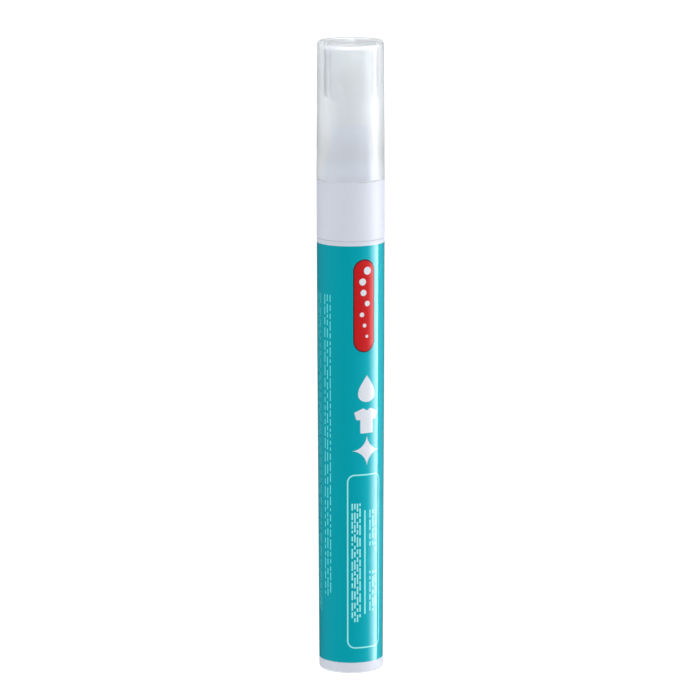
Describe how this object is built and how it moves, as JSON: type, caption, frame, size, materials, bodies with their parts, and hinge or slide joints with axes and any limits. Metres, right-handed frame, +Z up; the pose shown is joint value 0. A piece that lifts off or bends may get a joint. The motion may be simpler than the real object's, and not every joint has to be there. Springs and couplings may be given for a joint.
{
  "type": "stain remover pen",
  "caption": "Slim capped pen that dabs liquid stain remover on cloth: pressing its fibre nib opens a spring valve, and a translucent cap seals the nib.",
  "frame": {"origin": "centre of the foot, on the plane that the pen stands on", "axes": "+Z up the pen's axis from the foot to the cap, -Y towards the side with most of the print, +X to that side's right"},
  "size_m": [0.0154, 0.0154, 0.145],
  "materials": {
    "white_plastic": "glossy moulded white polypropylene",
    "label_film": null,
    "cap_plastic": "glossy translucent natural polypropylene",
    "valve_plastic": "satin natural acetal",
    "gasket_rubber": "soft dark elastomer",
    "spring_steel": "drawn stainless spring wire",
    "nib_fibre": "bonded off-white polyester fibre"
  },
  "bodies": {
    "pen_body": {"barrel": "white_plastic", "label": "label_film", "front_section": "white_plastic", "valve_body": "valve_plastic", "valve_gasket": "gasket_rubber", "spring_retainer": "valve_plastic", "valve_spring": "spring_steel"},
    "nib_set": {"nib": "nib_fibre", "valve_stem": "valve_plastic"},
    "cap_body": {"cap": "cap_plastic"}
  },
  "joints": [
    {"name": "cap_pull", "type": "slide", "parent": "pen_body", "child": "cap_body", "axis": [0, 0, 1], "range_m": [0, 0.04]},
    {"name": "nib_press", "type": "slide", "parent": "pen_body", "child": "nib_set", "axis": [0, 0, -1], "range_m": [0, 0.0015], "stiffness_N_per_m": 600, "springref_m": -0.002, "deforming": ["valve_spring"]}
  ]
}
